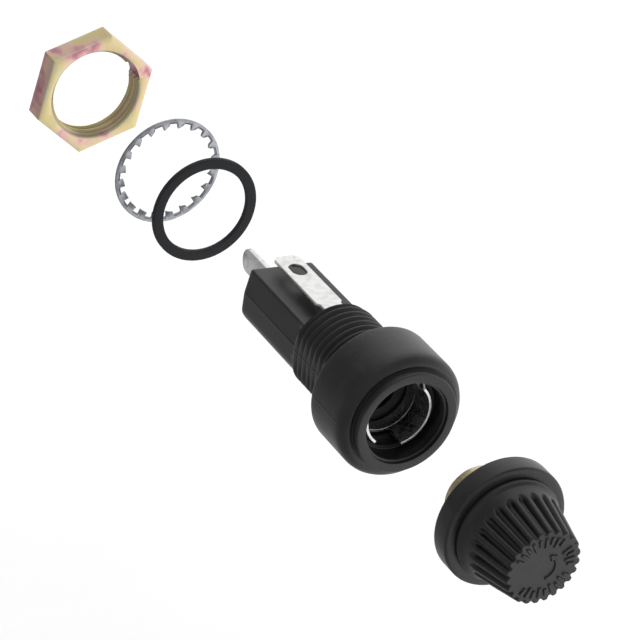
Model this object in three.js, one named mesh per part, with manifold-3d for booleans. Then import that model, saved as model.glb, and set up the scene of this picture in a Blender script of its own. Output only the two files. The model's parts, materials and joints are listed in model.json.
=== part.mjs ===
// Panel-mounting cartridge fuse holder with a bayonet cap, drawn pulled apart along its own axis.
// Millimetres, +Z up. The axis of the holder is the Y axis and the front (cap side) is at -Y.
// Distances along the axis are written as s, with s = -y: s = 0 is the rear face of the housing
// head, which seats on the panel, and s grows towards the cap.
import * as THREE from 'three';
import { mergeVertices } from 'three/addons/utils/BufferGeometryUtils.js';
import Module from 'manifold-3d';

const wasm = await Module();
wasm.setup();

// ---------------------------------------------------------------- driving dimensions
const AIR = 0.3;                 // gap kept between pieces that touch on the real holder
const ROUND = 48;                // facets of the larger turned pieces
const SMALL_ROUND = 24;          // facets of the smaller turned pieces

const THREAD = { radius: 7.95, root: 7.25, pitch: 1.5, length: 13.7, flatX: 7.15 };
const HEAD = {
  radius: 11.1, shoulder: 8.5, front: 11.8, ring: 9.15, mouth: 7.65, ledge: 0.6, bore: 7.1, floor: 8.0,
};
const STEM = { rear: -32.8, halfWidth: 6.5, topHalfWidth: 5.75, top: 4.2, bottomRadius: 7.45, wall: 1.5 };
const FUSE_BORE = 3.5;           // radius of the bore that takes a 6.3 mm fuse
const SLEEVE = { inner: 5.45, outer: 5.95, ring: 0.05, rear: 2.0, ringEnd: 4.5, wallRear: 3.9, front: 9.1 };
const BRIDGE = { inner: 6.3, outer: 6.8, leg: 4 };   // radii, and the legs' width in degrees
const ENTRY = { angle: 78, half: 26 };          // entry slots of the bayonet, degrees about the axis
const LOCK_TURN = 42;            // degrees from entry to locked
const STRIP = {
  half: 2.4, neckHalf: 1.9, bottom: 5.7, thickness: 0.6, rear: -32.1, shoulder: -16.4, pressed: 0.03,
};
const STRIP_LAP = { bottom: 6.3, rear: 1.3, front: 3.5 };
const EYE = { s: -27.4, width: 2.6, length: 3.8 };
const BLADE = { left: -1.05, right: 0.0, half: 2.15, end: -43.8 };
const FOOT = { radius: 2.9, thickness: 0.6 };
const PLUNGER = { radius: 3.1, face: -15.6, length: 4.0, wall: 0.4 };
const SPRING = { radius: 2.35, wire: 0.42, turns: 6 };

const CAP_LIFT = 26.4;           // how far the cap stands out in front of its closed place
const CAP = {
  rear: 12.1, edge: 15.7, ringRear: 16.0, ringFront: 16.7, fluteStart: 18.6, end: 26.8,
  flange: 10.45, flangeFront: 9.9, groove: 8.5, ring: 8.85, coneBase: 8.35, fluteRoot: 8.1, coneEnd: 6.5,
};
const FLUTES = 24;
const FLUTE_DEPTH = 0.62;
const FERRULE = { outer: 5.15, inner: 4.7, rear: 6.0, front: 15.9, base: 0.5 };
const LUG = { s: 7.0, radius: 0.65, tip: 5.9 };
const CLIP = { inner: 3.25, outer: 3.6, mouth: 4.2, rear: 5.6, front: 15.1, base: 0.5, slot: 0.8 };
const EYELET = { shank: 1.2, head: 2.3, flare: 1.9 };

const GASKET = { inner: 8.12, outer: 9.95, thickness: 0.9, front: -60.2 };
const WASHER = { tooth: 8.25, root: 9.15, outer: 10.2, thickness: 0.6, teeth: 20, front: -75.2 };
const NUT = { acrossFlats: 20.6, hole: 8.15, thickness: 4.5, front: -106.3, turn: 20.6, chamfer: 0.35 };

// ---------------------------------------------------------------- finishes
const finish = (color, roughness, metalness) => new THREE.MeshStandardMaterial(
  { color, roughness, metalness });
const BLACK_PHENOLIC = finish(0x29292b, 0.45, 0);
const BLACK_RUBBER = finish(0x1f2123, 0.8, 0);
const TINNED_BRASS = finish(0xd9d9d6, 0.3, 0.9);
const SPRING_BRASS = finish(0xc2a36b, 0.35, 0.9);
const SPRING_STEEL = finish(0xb5b8bb, 0.35, 0.9);
const GREY_STEEL = finish(0x9a9da0, 0.45, 0.85);
const YELLOW_ZINC = finish(0xc9b273, 0.4, 0.75);

// ---------------------------------------------------------------- shape helpers
const radians = THREE.MathUtils.degToRad;

// A closed three.js geometry as a solid, turned right side out where its outline ran backwards.
function solid(geometry) {
  const bare = geometry.clone();
  for (const name of Object.keys(bare.attributes)) {
    if (name !== 'position') {
      bare.deleteAttribute(name);
    }
  }
  const merged = mergeVertices(bare, 1e-4);
  const index = Array.from(merged.index.array);
  const corners = [];
  for (let i = 0; i < index.length; i += 3) {
    const [a, b, c] = index.slice(i, i + 3);
    if (a !== b && b !== c && c !== a) {
      corners.push(a, b, c);
    }
  }
  const position = merged.attributes.position;
  let volume = 0;
  const a = new THREE.Vector3();
  const b = new THREE.Vector3();
  const c = new THREE.Vector3();
  for (let i = 0; i < corners.length; i += 3) {
    a.fromBufferAttribute(position, corners[i]);
    b.fromBufferAttribute(position, corners[i + 1]);
    c.fromBufferAttribute(position, corners[i + 2]);
    volume += a.dot(b.cross(c));
  }
  if (volume < 0) {
    corners.reverse();
  }
  const mesh = new wasm.Mesh({
    numProp: 3,
    vertProperties: new Float32Array(position.array),
    triVerts: new Uint32Array(corners),
  });
  return new wasm.Manifold(mesh);
}

// A turned solid from [radius, s] corners. A profile that doesn't end on the axis closes on itself.
function turned(profile, facets = ROUND) {
  const points = profile.map(([radius, s]) => new THREE.Vector2(radius, -s));
  const closes = profile[0][0] > 0;
  if (closes) {
    points.push(points[0].clone());
  }
  return solid(new THREE.LatheGeometry(points, facets));
}

const tube = (inner, outer, rear, front, facets = ROUND) => turned(
  [[inner, rear], [outer, rear], [outer, front], [inner, front]], facets);

const rod = (radius, rear, front, facets = ROUND) => turned(
  [[0, rear], [radius, rear], [radius, front], [0, front]], facets);

// A section drawn in X and Z, extruded along the axis from s = rear to s = front.
function alongAxis(shape, rear, front, steps = 1) {
  const geometry = new THREE.ExtrudeGeometry(shape, {
    depth: front - rear, bevelEnabled: false, curveSegments: 12, steps,
  });
  geometry.rotateX(Math.PI / 2);
  geometry.translate(0, -rear, 0);
  return geometry;
}

// A profile drawn in s and Z, extruded across the holder from x = left to x = right.
function across(shape, left, right) {
  const geometry = new THREE.ExtrudeGeometry(shape, {
    depth: right - left, bevelEnabled: false, curveSegments: 12,
  });
  const position = geometry.attributes.position;
  for (let i = 0; i < position.count; i += 1) {
    position.setXYZ(i, position.getZ(i) + left, -position.getX(i), position.getY(i));
  }
  return solid(geometry);
}

function block(left, right, rear, front, bottom, top) {
  const geometry = new THREE.BoxGeometry(right - left, front - rear, top - bottom);
  geometry.translate((left + right) / 2, -(rear + front) / 2, (bottom + top) / 2);
  return solid(geometry);
}

// A wedge of the turned space between two angles, in degrees from +X towards +Z.
function sector(inner, outer, from, to, rear, front) {
  const shape = new THREE.Shape();
  shape.absarc(0, 0, outer, radians(from), radians(to), false);
  shape.absarc(0, 0, inner, radians(to), radians(from), true);
  shape.closePath();
  return solid(alongAxis(shape, rear, front));
}

// Points on an arc about the axis, angles in degrees from +X towards +Z.
function arc(radius, from, to, steps) {
  const points = [];
  for (let i = 0; i <= steps; i += 1) {
    const angle = radians(from + ((to - from) * i) / steps);
    points.push(new THREE.Vector2(radius * Math.cos(angle), radius * Math.sin(angle)));
  }
  return points;
}

const polygon = (corners) => new THREE.Shape(corners.map(([x, y]) => new THREE.Vector2(x, y)));

const holder = new THREE.Group();

// A named sub-part, with its s measured where it is drawn plus the lift of its group.
function add(name, body, material, group = holder) {
  const { vertProperties, triVerts } = body.getMesh();
  const geometry = new THREE.BufferGeometry();
  geometry.setAttribute('position', new THREE.BufferAttribute(new Float32Array(vertProperties), 3));
  geometry.setIndex(new THREE.BufferAttribute(new Uint32Array(triVerts), 1));
  geometry.computeVertexNormals();
  const mesh = new THREE.Mesh(geometry, material);
  mesh.name = name;
  group.add(mesh);
}

// ---------------------------------------------------------------- housing
// One moulding: head with a raised front ring, threaded barrel with two flats, and stem.
function threadCrests() {
  const corners = [];
  const count = Math.floor(THREAD.length / THREAD.pitch);
  const half = THREAD.pitch / 2;
  for (let i = 0; i < count; i += 1) {
    const s = -THREAD.length + i * THREAD.pitch;
    corners.push([THREAD.radius, s + half], [THREAD.root, s + THREAD.pitch]);
  }
  return corners;
}

function barrelAndHead() {
  return turned([
    [0, -THREAD.length], [THREAD.root, -THREAD.length],
    ...threadCrests(),
    [THREAD.root, 0], [HEAD.radius - 0.4, 0], [HEAD.radius, 0.4], [HEAD.radius, HEAD.shoulder],
    [HEAD.radius - 0.25, HEAD.shoulder + 0.75], [HEAD.radius - 0.8, HEAD.shoulder + 1.3],
    [HEAD.ring + 0.5, HEAD.shoulder + 2.0], [HEAD.ring, HEAD.shoulder + 2.3],
    [HEAD.ring, HEAD.front - 0.3], [HEAD.ring - 0.3, HEAD.front], [0, HEAD.front],
  ]);
}

// Rounded below, slightly drafted at the sides from the parting plane, flat on top.
function stemSection() {
  const reach = Math.asin(STEM.halfWidth / STEM.bottomRadius);
  const shape = new THREE.Shape();
  shape.moveTo(STEM.halfWidth, 0);
  shape.lineTo(STEM.topHalfWidth, STEM.top);
  shape.lineTo(-STEM.topHalfWidth, STEM.top);
  shape.lineTo(-STEM.halfWidth, 0);
  shape.absarc(0, 0, STEM.bottomRadius, -Math.PI / 2 - reach, -Math.PI / 2 + reach, false);
  shape.closePath();
  return shape;
}

function housing() {
  const stem = solid(alongAxis(stemSection(), STEM.rear, -THREAD.length + 0.5));
  const away = THREAD.radius + 1;
  const rightFlat = block(THREAD.flatX, away, -THREAD.length - 1, 0, -away, away);
  const leftFlat = block(-away, -THREAD.flatX, -THREAD.length - 1, 0, -away, away);
  const sleeveHole = SLEEVE.outer + 1.2 * AIR;
  const bore = turned([
    [0, STEM.rear + STEM.wall], [FUSE_BORE, STEM.rear + STEM.wall], [FUSE_BORE, SLEEVE.rear - AIR],
    [sleeveHole, SLEEVE.rear - AIR], [sleeveHole, HEAD.floor], [HEAD.bore, HEAD.floor],
    [HEAD.bore, HEAD.front - HEAD.ledge], [HEAD.mouth, HEAD.front - HEAD.ledge], [HEAD.mouth, HEAD.front + 1],
    [0, HEAD.front + 1],
  ]);
  const wide = STRIP.neckHalf + AIR;
  const top = STRIP.bottom + STRIP.thickness + AIR;
  const stripSlot = block(-wide, wide, -THREAD.length - 1, HEAD.floor + 0.1, STRIP.bottom - AIR, top);
  const lapTop = STRIP_LAP.bottom + STRIP.thickness + AIR;
  const lapSlot = block(-wide, wide, 0.4, HEAD.floor + 0.1, STRIP.bottom - AIR, lapTop);
  const pocketReach = ENTRY.half + BRIDGE.leg + 3;
  const bridgePocket = sector(SLEEVE.outer - 1, BRIDGE.outer + AIR, ENTRY.angle - pocketReach,
    ENTRY.angle + pocketReach, SLEEVE.wallRear - AIR, HEAD.floor + 0.1);
  const bladeSlot = block(BLADE.left - AIR, BLADE.right + AIR, STEM.rear - 1, STEM.rear + STEM.wall + 1,
    -BLADE.half - AIR, BLADE.half + AIR);
  return barrelAndHead().add(stem).subtract(rightFlat).subtract(leftFlat).subtract(bore)
    .subtract(stripSlot).subtract(lapSlot).subtract(bridgePocket).subtract(bladeSlot);
}

// ---------------------------------------------------------------- contact sleeve
// A rolled ring. In front of it two walls leave the bayonet's entry slots, a raised bridge spans
// the upper slot, and a window in each wall takes the lug when the cap is turned.
function contactSleeve() {
  const { inner, outer, ring, rear, ringEnd, wallRear, front } = SLEEVE;
  const upper = ENTRY.angle + ENTRY.half;
  const lower = ENTRY.angle - ENTRY.half;
  const bridgeStart = lower - BRIDGE.leg;
  const bridgeEnd = upper + BRIDGE.leg;
  const wall = new THREE.Shape([
    ...arc(outer, upper - 180, bridgeStart, 20), ...arc(BRIDGE.outer, bridgeStart, bridgeEnd, 10),
    ...arc(outer, bridgeEnd, lower + 180, 20), ...arc(inner, lower + 180, upper, 20),
    ...arc(BRIDGE.inner, upper, lower, 8), ...arc(inner, lower, upper - 180, 20),
  ]);
  let sleeve = tube(inner - ring, outer + ring, rear, ringEnd);
  sleeve = sleeve.add(solid(alongAxis(wall, wallRear, front)));
  const room = LUG.radius + 0.2;
  for (const turn of [0, 180]) {
    const start = ENTRY.angle - LOCK_TURN - 9 + turn;
    sleeve = sleeve.subtract(sector(5.0, LUG.tip + 0.2, start, lower + 6 + turn, LUG.s - room, LUG.s + room));
  }
  return sleeve;
}

// ---------------------------------------------------------------- terminals
// A strip with an oblong eye. Its neck, which passes under the thread, is pressed slightly thinner.
function sideTerminal() {
  const { bottom, thickness, rear } = STRIP;
  const lap = STRIP_LAP;
  const neckTop = bottom + thickness - STRIP.pressed;
  const side = polygon([
    [rear, bottom], [0.7, bottom], [lap.rear, lap.bottom], [lap.front, lap.bottom],
    [lap.front, lap.bottom + thickness], [lap.rear - 0.25, lap.bottom + thickness],
    [0.45, neckTop], [STRIP.shoulder + 0.4, neckTop], [STRIP.shoulder, bottom + thickness],
    [rear, bottom + thickness],
  ]);
  const strip = across(side, -STRIP.half, STRIP.half);
  const corner = 0.9;
  const plan = polygon([
    [-STRIP.half + corner, rear], [STRIP.half - corner, rear], [STRIP.half, rear + corner],
    [STRIP.half, STRIP.shoulder], [STRIP.neckHalf, STRIP.shoulder + 0.4], [STRIP.neckHalf, lap.front],
    [-STRIP.neckHalf, lap.front], [-STRIP.neckHalf, STRIP.shoulder + 0.4], [-STRIP.half, STRIP.shoulder],
    [-STRIP.half, rear + corner],
  ]);
  const eye = new THREE.Path();
  const half = EYE.width / 2;
  const run = (EYE.length - EYE.width) / 2;
  eye.absarc(0, EYE.s + run, half, 0, Math.PI, false);
  eye.absarc(0, EYE.s - run, half, Math.PI, 2 * Math.PI, false);
  eye.closePath();
  plan.holes.push(eye);
  const blankGeometry = new THREE.ExtrudeGeometry(plan, { depth: 4, bevelEnabled: false, curveSegments: 8 });
  const position = blankGeometry.attributes.position;
  for (let i = 0; i < position.count; i += 1) {
    position.setXYZ(i, position.getX(i), -position.getY(i), position.getZ(i) + bottom - 1);
  }
  return strip.intersect(solid(blankGeometry));
}

// An upright blade with a rounded end, on a round foot inside the stem.
function endTerminal() {
  const footRear = STEM.rear + STEM.wall + AIR;
  const shape = new THREE.Shape();
  const bulge = 1.3;
  shape.moveTo(footRear + 0.2, -BLADE.half);
  shape.lineTo(footRear + 0.2, BLADE.half);
  shape.lineTo(BLADE.end + bulge, BLADE.half);
  shape.quadraticCurveTo(BLADE.end, BLADE.half * 0.7, BLADE.end, 0);
  shape.quadraticCurveTo(BLADE.end, -BLADE.half * 0.7, BLADE.end + bulge, -BLADE.half);
  shape.closePath();
  const blade = across(shape, BLADE.left, BLADE.right);
  return blade.add(rod(FOOT.radius, footRear, footRear + FOOT.thickness, SMALL_ROUND));
}

// ---------------------------------------------------------------- rear contact
const SEAT_REAR = STEM.rear + STEM.wall + AIR + FOOT.thickness + AIR;

function springSeat() {
  return turned([
    [0.8, SEAT_REAR], [PLUNGER.radius, SEAT_REAR], [PLUNGER.radius, SEAT_REAR + 1.6],
    [PLUNGER.radius - 0.35, SEAT_REAR + 1.6], [PLUNGER.radius - 0.35, SEAT_REAR + 0.4],
    [0.8, SEAT_REAR + 0.4],
  ], SMALL_ROUND);
}

function contactPlunger() {
  const { radius, face, length, wall } = PLUNGER;
  return turned([
    [0, face], [1.6, face - 0.1], [radius - 0.3, face - 0.45], [radius, face - 0.8], [radius, face - length],
    [radius - wall, face - length], [radius - wall, face - 1.1], [0, face - 0.8],
  ], SMALL_ROUND);
}

class Helix extends THREE.Curve {
  getPoint(t, target = new THREE.Vector3()) {
    const rear = SEAT_REAR + 0.4 + AIR + SPRING.wire / 2;
    const front = PLUNGER.face - 1.1 - AIR - SPRING.wire / 2;
    const angle = 2 * Math.PI * SPRING.turns * t;
    const s = rear + (front - rear) * t;
    return target.set(SPRING.radius * Math.cos(angle), -s, SPRING.radius * Math.sin(angle));
  }
}

function contactSpring() {
  const wire = new THREE.Shape();
  wire.absarc(0, 0, SPRING.wire / 2, 0, 2 * Math.PI, false);
  return solid(new THREE.ExtrudeGeometry(wire, {
    steps: SPRING.turns * 10, curveSegments: 3, extrudePath: new Helix(), bevelEnabled: false,
  }));
}

// ---------------------------------------------------------------- bayonet cap
function flutedGrip() {
  const shape = new THREE.Shape();
  const perFlute = 4;
  for (let i = 0; i < FLUTES * perFlute; i += 1) {
    const angle = (2 * Math.PI * i) / (FLUTES * perFlute);
    const dip = FLUTE_DEPTH * (0.5 - 0.5 * Math.cos(FLUTES * angle));
    const radius = CAP.coneEnd - dip;
    shape[i === 0 ? 'moveTo' : 'lineTo'](radius * Math.cos(angle), radius * Math.sin(angle));
  }
  shape.closePath();
  const geometry = alongAxis(shape, CAP.fluteStart - 0.6, CAP.end, 2);
  const position = geometry.attributes.position;
  const length = CAP.end - CAP.fluteStart;
  for (let i = 0; i < position.count; i += 1) {
    const back = (CAP.end + position.getY(i)) / length;
    const scale = 1 + (CAP.fluteRoot / CAP.coneEnd - 1) * back;
    position.setXYZ(i, position.getX(i) * scale, position.getY(i), position.getZ(i) * scale);
  }
  return solid(geometry);
}

function knob() {
  const body = turned([
    [0, CAP.rear], [CAP.flange - 0.2, CAP.rear], [CAP.flange, CAP.rear + 0.25], [CAP.flange, CAP.edge - 0.6],
    [CAP.flangeFront + 0.25, CAP.edge - 0.1], [CAP.flangeFront, CAP.edge], [CAP.groove, CAP.edge + 0.15],
    [CAP.groove, CAP.ringRear], [CAP.ring, CAP.ringRear + 0.3], [CAP.ring - 0.1, CAP.ringFront],
    [CAP.coneBase, CAP.ringFront + 0.4], [CAP.fluteRoot, CAP.fluteStart], [0, CAP.fluteStart],
  ]);
  const cavity = turned([
    [0, CAP.rear - 1], [FERRULE.outer + AIR, CAP.rear - 1], [FERRULE.outer + AIR, FERRULE.front + AIR],
    [EYELET.flare + AIR, FERRULE.front + AIR], [EYELET.flare + AIR, FERRULE.front + 1.9],
    [0, FERRULE.front + 1.9],
  ]);
  return body.add(flutedGrip()).subtract(cavity);
}

function ferrule() {
  const { outer, inner, rear, front, base } = FERRULE;
  const pin = LUG.radius + AIR;
  let shell = turned([
    [outer, rear], [outer, front], [EYELET.shank + AIR, front], [EYELET.shank + AIR, front - base],
    [inner, front - base], [inner, rear],
  ], SMALL_ROUND * 1.5);
  for (const turn of [0, 180]) {
    shell = shell.subtract(lugPin(turn, inner - 1, outer + 1, pin));
  }
  return shell;
}

function lugPin(turn, inner, outer, radius) {
  const geometry = new THREE.CylinderGeometry(radius, radius, outer - inner, 20);
  geometry.rotateZ(-Math.PI / 2);
  geometry.translate((inner + outer) / 2, 0, 0);
  geometry.rotateY(-radians(ENTRY.angle + turn));
  geometry.translate(0, -LUG.s, 0);
  return solid(geometry);
}

function fuseClip() {
  const { inner, outer, mouth, rear, front, base, slot } = CLIP;
  const rivetHole = EYELET.shank + AIR / 2;
  let clip = turned([
    [outer, rear + 1.1], [outer, front], [rivetHole, front], [rivetHole, front - base],
    [inner, front - base], [inner, rear + 1.1], [mouth - 0.3, rear], [mouth, rear],
  ], SMALL_ROUND * 1.5);
  const reach = mouth + 1;
  clip = clip.subtract(block(-slot / 2, slot / 2, rear - 1, front - 3.5, -reach, reach));
  return clip.subtract(block(-reach, reach, rear - 1, front - 3.5, -slot / 2, slot / 2));
}

function clipEyelet() {
  const rearFace = CLIP.front - CLIP.base - AIR;
  const ferruleFront = FERRULE.front + AIR;
  return turned([
    [EYELET.shank - 0.4, rearFace - 0.4], [EYELET.head, rearFace - 0.4], [EYELET.head, rearFace],
    [EYELET.shank, rearFace], [EYELET.shank, ferruleFront], [EYELET.flare, ferruleFront],
    [EYELET.flare, ferruleFront + 0.4], [EYELET.shank - 0.4, ferruleFront + 0.4],
  ], SMALL_ROUND);
}

// ---------------------------------------------------------------- panel hardware
function gasket() {
  return tube(GASKET.inner, GASKET.outer, GASKET.front - GASKET.thickness, GASKET.front);
}

function lockWasher() {
  const shape = new THREE.Shape();
  shape.absarc(0, 0, WASHER.outer, 0, 2 * Math.PI, false);
  const inside = new THREE.Path();
  const step = 360 / WASHER.teeth;
  const corners = [];
  for (let i = 0; i < WASHER.teeth; i += 1) {
    const at = i * step;
    for (const [radius, share] of [[WASHER.root, 0], [WASHER.root, 0.3], [WASHER.tooth, 0.36],
      [WASHER.tooth, 0.94]]) {
      const angle = radians(at + share * step);
      corners.push(new THREE.Vector2(radius * Math.cos(angle), radius * Math.sin(angle)));
    }
  }
  inside.setFromPoints(corners);
  inside.closePath();
  shape.holes.push(inside);
  const geometry = new THREE.ExtrudeGeometry(shape, {
    depth: WASHER.thickness, bevelEnabled: false, curveSegments: 48,
  });
  geometry.rotateX(Math.PI / 2);
  geometry.translate(0, -(WASHER.front - WASHER.thickness), 0);
  return solid(geometry);
}

function hexNut() {
  const corner = NUT.acrossFlats / Math.sqrt(3);
  const shape = new THREE.Shape();
  for (let i = 0; i < 6; i += 1) {
    const angle = radians(NUT.turn + 60 * i);
    shape[i === 0 ? 'moveTo' : 'lineTo'](corner * Math.cos(angle), corner * Math.sin(angle));
  }
  shape.closePath();
  const rear = NUT.front - NUT.thickness;
  const blank = solid(alongAxis(shape, rear, NUT.front));
  const hole = turned([
    [0, rear - 1], [NUT.hole + NUT.chamfer + 1, rear - 1], [NUT.hole, rear + NUT.chamfer],
    [NUT.hole, NUT.front - NUT.chamfer], [NUT.hole + NUT.chamfer + 1, NUT.front + 1], [0, NUT.front + 1],
  ]);
  return blank.subtract(hole);
}

// ---------------------------------------------------------------- assembly
add('housing', housing(), BLACK_PHENOLIC);
add('contact_sleeve', contactSleeve(), TINNED_BRASS);
add('side_terminal', sideTerminal(), TINNED_BRASS);
add('end_terminal', endTerminal(), TINNED_BRASS);
add('spring_seat', springSeat(), SPRING_BRASS);
add('contact_spring', contactSpring(), SPRING_STEEL);
add('contact_plunger', contactPlunger(), SPRING_BRASS);

const cap = new THREE.Group();
cap.position.y = -CAP_LIFT;
holder.add(cap);
add('knob', knob(), BLACK_PHENOLIC, cap);
add('knob_ferrule', ferrule(), SPRING_BRASS, cap);
add('bayonet_lug_top', lugPin(0, FERRULE.inner - 0.4, LUG.tip, LUG.radius), SPRING_BRASS, cap);
add('bayonet_lug_bottom', lugPin(180, FERRULE.inner - 0.4, LUG.tip, LUG.radius), SPRING_BRASS, cap);
add('fuse_clip', fuseClip(), SPRING_BRASS, cap);
add('clip_eyelet', clipEyelet(), SPRING_BRASS, cap);

add('gasket', gasket(), BLACK_RUBBER);
add('lock_washer', lockWasher(), GREY_STEEL);
add('hex_nut', hexNut(), YELLOW_ZINC);

export default holder;
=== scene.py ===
# %% [markdown]
# # A cartridge fuse holder for a panel, pulled apart along its own axis
#
# The holder is a black moulded housing that passes through a round hole in a panel. A gasket, a
# toothed lock washer and a hexagonal nut hold it there. A bayonet cap carries the fuse in its clip.
# The pieces are drawn one behind the other, in the order in which they go together.
#
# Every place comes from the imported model: each node's box says where that piece starts and ends
# and how far out it reaches. Here each piece gets its fine shape and its finish.

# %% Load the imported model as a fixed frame
import json
import math

import bpy
import numpy as np
from mathutils import Matrix, Vector


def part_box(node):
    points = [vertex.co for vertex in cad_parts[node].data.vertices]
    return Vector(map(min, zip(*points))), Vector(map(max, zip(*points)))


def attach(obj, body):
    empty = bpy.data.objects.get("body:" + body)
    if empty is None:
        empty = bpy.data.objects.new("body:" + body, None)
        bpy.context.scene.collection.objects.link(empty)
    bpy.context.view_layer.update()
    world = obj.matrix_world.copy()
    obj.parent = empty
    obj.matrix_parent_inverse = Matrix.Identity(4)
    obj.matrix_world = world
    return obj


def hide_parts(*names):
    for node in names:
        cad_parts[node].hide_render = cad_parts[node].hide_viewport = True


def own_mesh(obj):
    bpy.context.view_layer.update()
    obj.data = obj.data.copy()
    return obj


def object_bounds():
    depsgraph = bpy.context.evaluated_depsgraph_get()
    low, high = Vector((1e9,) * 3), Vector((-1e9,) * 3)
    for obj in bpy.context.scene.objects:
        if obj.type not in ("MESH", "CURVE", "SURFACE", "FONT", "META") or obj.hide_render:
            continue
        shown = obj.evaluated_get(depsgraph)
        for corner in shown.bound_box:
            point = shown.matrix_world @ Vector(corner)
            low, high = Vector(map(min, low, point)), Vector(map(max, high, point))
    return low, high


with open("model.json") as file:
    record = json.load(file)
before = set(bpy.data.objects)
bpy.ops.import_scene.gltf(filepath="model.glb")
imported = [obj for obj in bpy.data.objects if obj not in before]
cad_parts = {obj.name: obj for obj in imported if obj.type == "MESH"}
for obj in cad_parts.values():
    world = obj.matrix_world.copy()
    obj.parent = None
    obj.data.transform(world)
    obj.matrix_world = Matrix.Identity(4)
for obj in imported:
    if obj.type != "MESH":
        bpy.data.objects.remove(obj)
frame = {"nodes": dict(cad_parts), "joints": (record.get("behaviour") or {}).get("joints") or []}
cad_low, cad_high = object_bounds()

print("nodes in the frame:", len(frame["nodes"]))

# %% [markdown]
# ## Millimetres along one axis
#
# The holder's axis is Y, with the cap towards -Y. Almost every size is a distance s along the
# axis, counted towards the cap (s = -y), or a radius from the axis. The shapes are worked out in
# millimetres, and turned into Blender's metres when a mesh is made.

# %% Units and the reach of a node
MM = 0.001
TAU = 2 * math.pi


def span(node):
    """The rear and front s of a node and how far it reaches from the axis, in millimetres."""
    low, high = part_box(node)
    reach = max(-low.x, high.x, high.z) / MM
    return -high.y / MM, -low.y / MM, reach


def add_object(name, data):
    made = bpy.data.objects.new(name, data)
    bpy.context.scene.collection.objects.link(made)
    return made


for name in ("housing", "knob", "hex_nut"):
    rear, front, reach = span(name)
    print(f"{name}: from s = {rear:.1f} to {front:.1f} mm, reach {reach:.1f} mm")

# %% [markdown]
# ## Camera
#
# A long lens from far away keeps the pieces nearly the same size, as in a catalogue. The camera
# stands to the left of the cap and above it, and is rolled a little, so that the axis runs from the
# upper left to the lower right. Three angles, a distance and a point to aim at say this completely.

# %% The camera
VIEW_TURN = math.radians(-32.72)
VIEW_RISE = math.radians(28.74)
VIEW_ROLL = math.radians(9.59)
VIEW_DISTANCE = 514.5
VIEW_AIM = Vector((0.93, 19.62, 0.92))
LENS = 176.6

back = Vector((
    math.sin(VIEW_TURN) * math.cos(VIEW_RISE),
    -math.cos(VIEW_TURN) * math.cos(VIEW_RISE),
    math.sin(VIEW_RISE),
))
level = Vector((math.cos(VIEW_TURN), math.sin(VIEW_TURN), 0))
right = level * math.cos(VIEW_ROLL) + back.cross(level) * math.sin(VIEW_ROLL)
up = back.cross(right)
place = Matrix.Translation((VIEW_AIM + back * VIEW_DISTANCE) * MM)
camera_data = bpy.data.cameras.new("camera")
camera_data.lens = LENS
camera_data.sensor_width = 36
camera = add_object("camera", camera_data)
camera.matrix_world = place @ Matrix((right, up, back)).transposed().to_4x4()
bpy.context.scene.camera = camera
print("camera at", [round(value, 3) for value in camera.matrix_world.translation])

# %% [markdown]
# ## Finishes as expressions
#
# A material is a small program of nodes, long and hard to read when written node by node. So a
# socket is wrapped in a class that knows the sums: `1 - mask` or `a * 0.5 + b` add their own Math
# nodes. Any other node comes from one method, `node`, which takes the node's type, its settings,
# and the values or links of its sockets.

# %% A socket that can be used in sums
class Signal:
    """One output socket of a node tree, with Python's operators for its values."""

    def __init__(self, tree, socket=None):
        self.tree = tree
        self.socket = socket

    def node(self, kind, settings=None, inputs=None, output=0):
        """A new node: first its settings, then a value or a link for each named socket."""
        made = self.tree.nodes.new(kind)
        for name, value in (settings or {}).items():
            if name == "stops":
                fill_ramp(made.color_ramp, value)
            else:
                setattr(made, name, value)
        for name, value in (inputs or {}).items():
            connect(self.tree, made.inputs[name], value)
        return Signal(self.tree, made.outputs[output])

    def math(self, operation, first, second=0.0):
        return self.node("ShaderNodeMath", {"operation": operation}, {0: first, 1: second})

    def __add__(self, other):
        return self.math("ADD", self, other)

    def __radd__(self, other):
        return self.math("ADD", other, self)

    def __sub__(self, other):
        return self.math("SUBTRACT", self, other)

    def __rsub__(self, other):
        return self.math("SUBTRACT", other, self)

    def __mul__(self, other):
        return self.math("MULTIPLY", self, other)

    def __rmul__(self, other):
        return self.math("MULTIPLY", other, self)

    def size(self):
        """The distance of a value from zero."""
        return self.math("ABSOLUTE", self)

    def along(self, direction):
        """How squarely a direction points the same way as another one."""
        return self.node("ShaderNodeVectorMath", {"operation": "DOT_PRODUCT"},
                         {0: self, 1: direction}, output="Value")

    def ramp(self, low, high):
        """0 below low, 1 above high and a smooth rise between; high may be the smaller one."""
        settings = {"interpolation_type": "SMOOTHSTEP", "clamp": True}
        if low < high:
            return self.node("ShaderNodeMapRange", settings,
                             {"Value": self, "From Min": low, "From Max": high})
        return 1 - self.ramp(high, low)


def connect(tree, socket, value):
    if isinstance(value, Signal):
        tree.links.new(value.socket, socket)
    else:
        socket.default_value = value


def fill_ramp(ramp, stops):
    """Colour stops (place, colour); a new ramp already has its first and last one."""
    while len(ramp.elements) < len(stops):
        ramp.elements.new(0.5)
    for element, (place, colour) in zip(ramp.elements, stops):
        element.position = place
        element.color = (*colour, 1)


# %% [markdown]
# ## Studio
#
# Black mouldings and plated metal show their shape by what they reflect, so the room itself is the
# main lamp. An even white room would make every side of a black piece the same grey. Here it is
# bright on the right and dim on the left, with a dark card above in front and another behind on the
# left, so the tops come out pale and each rounding shows as a gradient. The lens sees the same room
# as plain white. Two soft lamps that nothing mirrors fill the tops and the faces towards the cap.

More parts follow.
